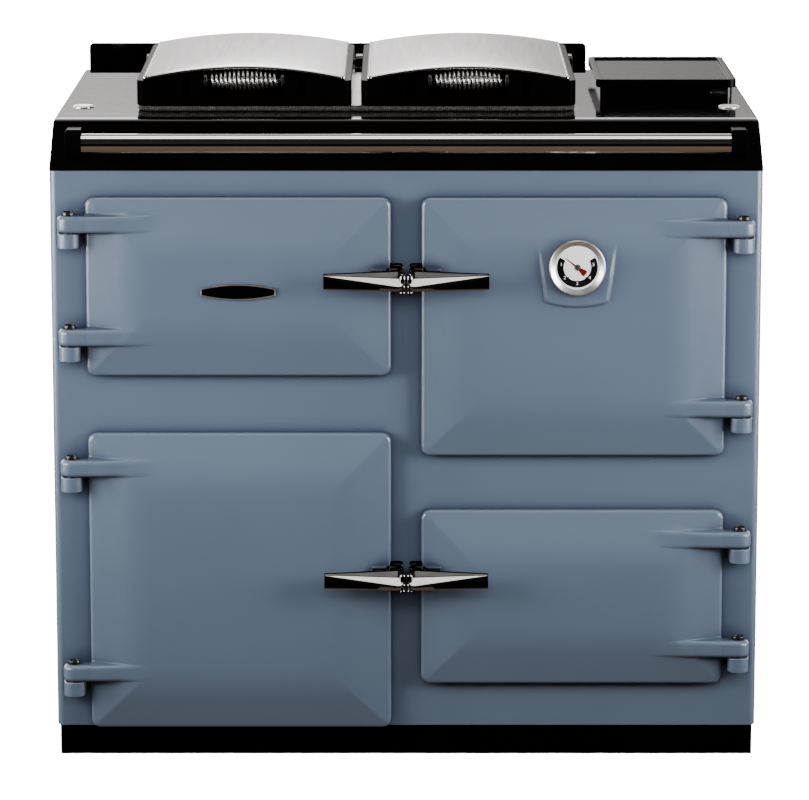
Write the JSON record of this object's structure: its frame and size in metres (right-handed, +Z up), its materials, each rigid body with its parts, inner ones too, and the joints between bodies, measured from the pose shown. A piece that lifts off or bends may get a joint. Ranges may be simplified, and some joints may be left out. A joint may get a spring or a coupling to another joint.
{
  "type": "cast iron range cooker",
  "caption": "Cast iron range cooker with enamelled hinged doors, domed hotplate lids on coil handles, towel rail, ovens, boiler and rear flue outlet.",
  "frame": {"origin": "on the floor, under the middle of the overall box", "axes": "+X to the viewer's right, +Y from the door front to the back, +Z up"},
  "size_m": [0.988, 0.698, 0.9724],
  "materials": {
    "blue_enamel": "glossy vitreous enamel",
    "black_enamel": "glossy vitreous enamel",
    "polished_steel": "polished",
    "dark_chrome": "dark polished",
    "bright_rail": "polished",
    "bare_cast_iron": "as cast",
    "plated_steel": "satin",
    "rope": "braided",
    "glass": "clear",
    "dial": "satin",
    "pointer_red": "satin",
    "burner_red": "satin",
    "wool": "matt"
  },
  "bodies": {
    "root": {"plinth": "black_enamel", "base_plate": "plated_steel", "front_plate": "blue_enamel", "left_side_panel": "blue_enamel", "right_side_panel": "blue_enamel", "back_panel": "plated_steel", "top_plate": "black_enamel", "rear_upstand": "black_enamel", "hotplate": "bare_cast_iron", "hotplate_rope_seal": "rope", "hob_plugs": "black_enamel", "rail_brackets": "black_enamel", "towel_rail": "bright_rail", "flue_box": "bare_cast_iron", "flue_cover": "black_enamel", "main_oven": "bare_cast_iron", "lower_oven": "bare_cast_iron", "boiler": "bare_cast_iron", "boiler_sockets": "plated_steel", "burner": "burner_red", "control_panel": "plated_steel", "hinge_pins": "dark_chrome", "door_catches": "bare_cast_iron", "insulation": "wool"},
    "door_upper_left": {"upper_left_door": "blue_enamel", "upper_left_liner": "plated_steel", "upper_left_rope_seal": "rope", "upper_left_handle_bracket": "black_enamel", "badge_plate": "dark_chrome"},
    "handle_upper_left": {"upper_left_handle": "dark_chrome"},
    "door_upper_right": {"upper_right_door": "blue_enamel", "upper_right_liner": "plated_steel", "upper_right_rope_seal": "rope", "upper_right_handle_bracket": "black_enamel", "thermometer_case": "polished_steel", "thermometer_dial": "dial", "thermometer_glass": "glass"},
    "handle_upper_right": {"upper_right_handle": "dark_chrome"},
    "door_lower_left": {"lower_left_door": "blue_enamel", "lower_left_liner": "plated_steel", "lower_left_rope_seal": "rope", "lower_left_handle_bracket": "black_enamel"},
    "handle_lower_left": {"lower_left_handle": "dark_chrome"},
    "door_lower_right": {"lower_right_door": "blue_enamel", "lower_right_liner": "plated_steel", "lower_right_rope_seal": "rope", "lower_right_handle_bracket": "black_enamel"},
    "handle_lower_right": {"lower_right_handle": "dark_chrome"},
    "pointer": {"thermometer_pointer": "pointer_red"},
    "lid_left": {"left_lid_casting": "black_enamel", "left_lid_dome": "polished_steel", "left_lid_liner": "plated_steel", "left_lid_coil_handle": "polished_steel"},
    "lid_right": {"right_lid_casting": "black_enamel", "right_lid_dome": "polished_steel", "right_lid_liner": "plated_steel", "right_lid_coil_handle": "polished_steel"},
    "shelf_main": {"main_oven_shelf": "bright_rail"},
    "shelf_lower": {"lower_oven_shelf": "bright_rail"},
    "knob": {"thermostat_knob": "black_enamel"}
  },
  "joints": [
    {"name": "door_upper_left_hinge", "type": "hinge", "parent": "root", "child": "door_upper_left", "pos_m": [-0.467, -0.301, 0.674], "axis": [0, 0, -1], "range_deg": [0, 120]},
    {"name": "handle_upper_left_pivot", "type": "hinge", "parent": "door_upper_left", "child": "handle_upper_left", "pos_m": [-0.013, -0.331, 0.695], "axis": [0, 1, 0], "range_deg": [0, 22]},
    {"name": "door_upper_right_hinge", "type": "hinge", "parent": "root", "child": "door_upper_right", "pos_m": [0.467, -0.301, 0.617], "axis": [0, 0, 1], "range_deg": [0, 120]},
    {"name": "handle_upper_right_pivot", "type": "hinge", "parent": "door_upper_right", "child": "handle_upper_right", "pos_m": [0.013, -0.331, 0.695], "axis": [0, -1, 0], "range_deg": [0, 22]},
    {"name": "door_lower_left_hinge", "type": "hinge", "parent": "root", "child": "door_lower_left", "pos_m": [-0.467, -0.301, 0.2555], "axis": [0, 0, -1], "range_deg": [0, 120]},
    {"name": "handle_lower_left_pivot", "type": "hinge", "parent": "door_lower_left", "child": "handle_lower_left", "pos_m": [-0.013, -0.331, 0.273], "axis": [0, 1, 0], "range_deg": [0, 22]},
    {"name": "door_lower_right_hinge", "type": "hinge", "parent": "root", "child": "door_lower_right", "pos_m": [0.467, -0.301, 0.2325], "axis": [0, 0, 1], "range_deg": [0, 120]},
    {"name": "handle_lower_right_pivot", "type": "hinge", "parent": "door_lower_right", "child": "handle_lower_right", "pos_m": [0.013, -0.331, 0.273], "axis": [0, -1, 0], "range_deg": [0, 22]},
    {"name": "pointer_sweep", "type": "hinge", "parent": "door_upper_right", "child": "pointer", "pos_m": [0.236, -0.321, 0.7055], "axis": [0, -1, 0], "range_deg": [0, 240]},
    {"name": "lid_left_hinge", "type": "hinge", "parent": "root", "child": "lid_left", "pos_m": [-0.227, 0.261, 0.925], "axis": [-1, 0, 0], "range_deg": [0, 78]},
    {"name": "lid_right_hinge", "type": "hinge", "parent": "root", "child": "lid_right", "pos_m": [0.087, 0.261, 0.925], "axis": [-1, 0, 0], "range_deg": [0, 78]},
    {"name": "shelf_main_slide", "type": "slide", "parent": "root", "child": "shelf_main", "axis": [0, -1, 0], "range_m": [0, 0.04]},
    {"name": "shelf_lower_slide", "type": "slide", "parent": "root", "child": "shelf_lower", "axis": [0, -1, 0], "range_m": [0, 0.04]},
    {"name": "knob_turn", "type": "hinge", "parent": "root", "child": "knob", "pos_m": [-0.356, -0.246, 0.39], "axis": [0, -1, 0], "range_deg": [0, 270]}
  ]
}
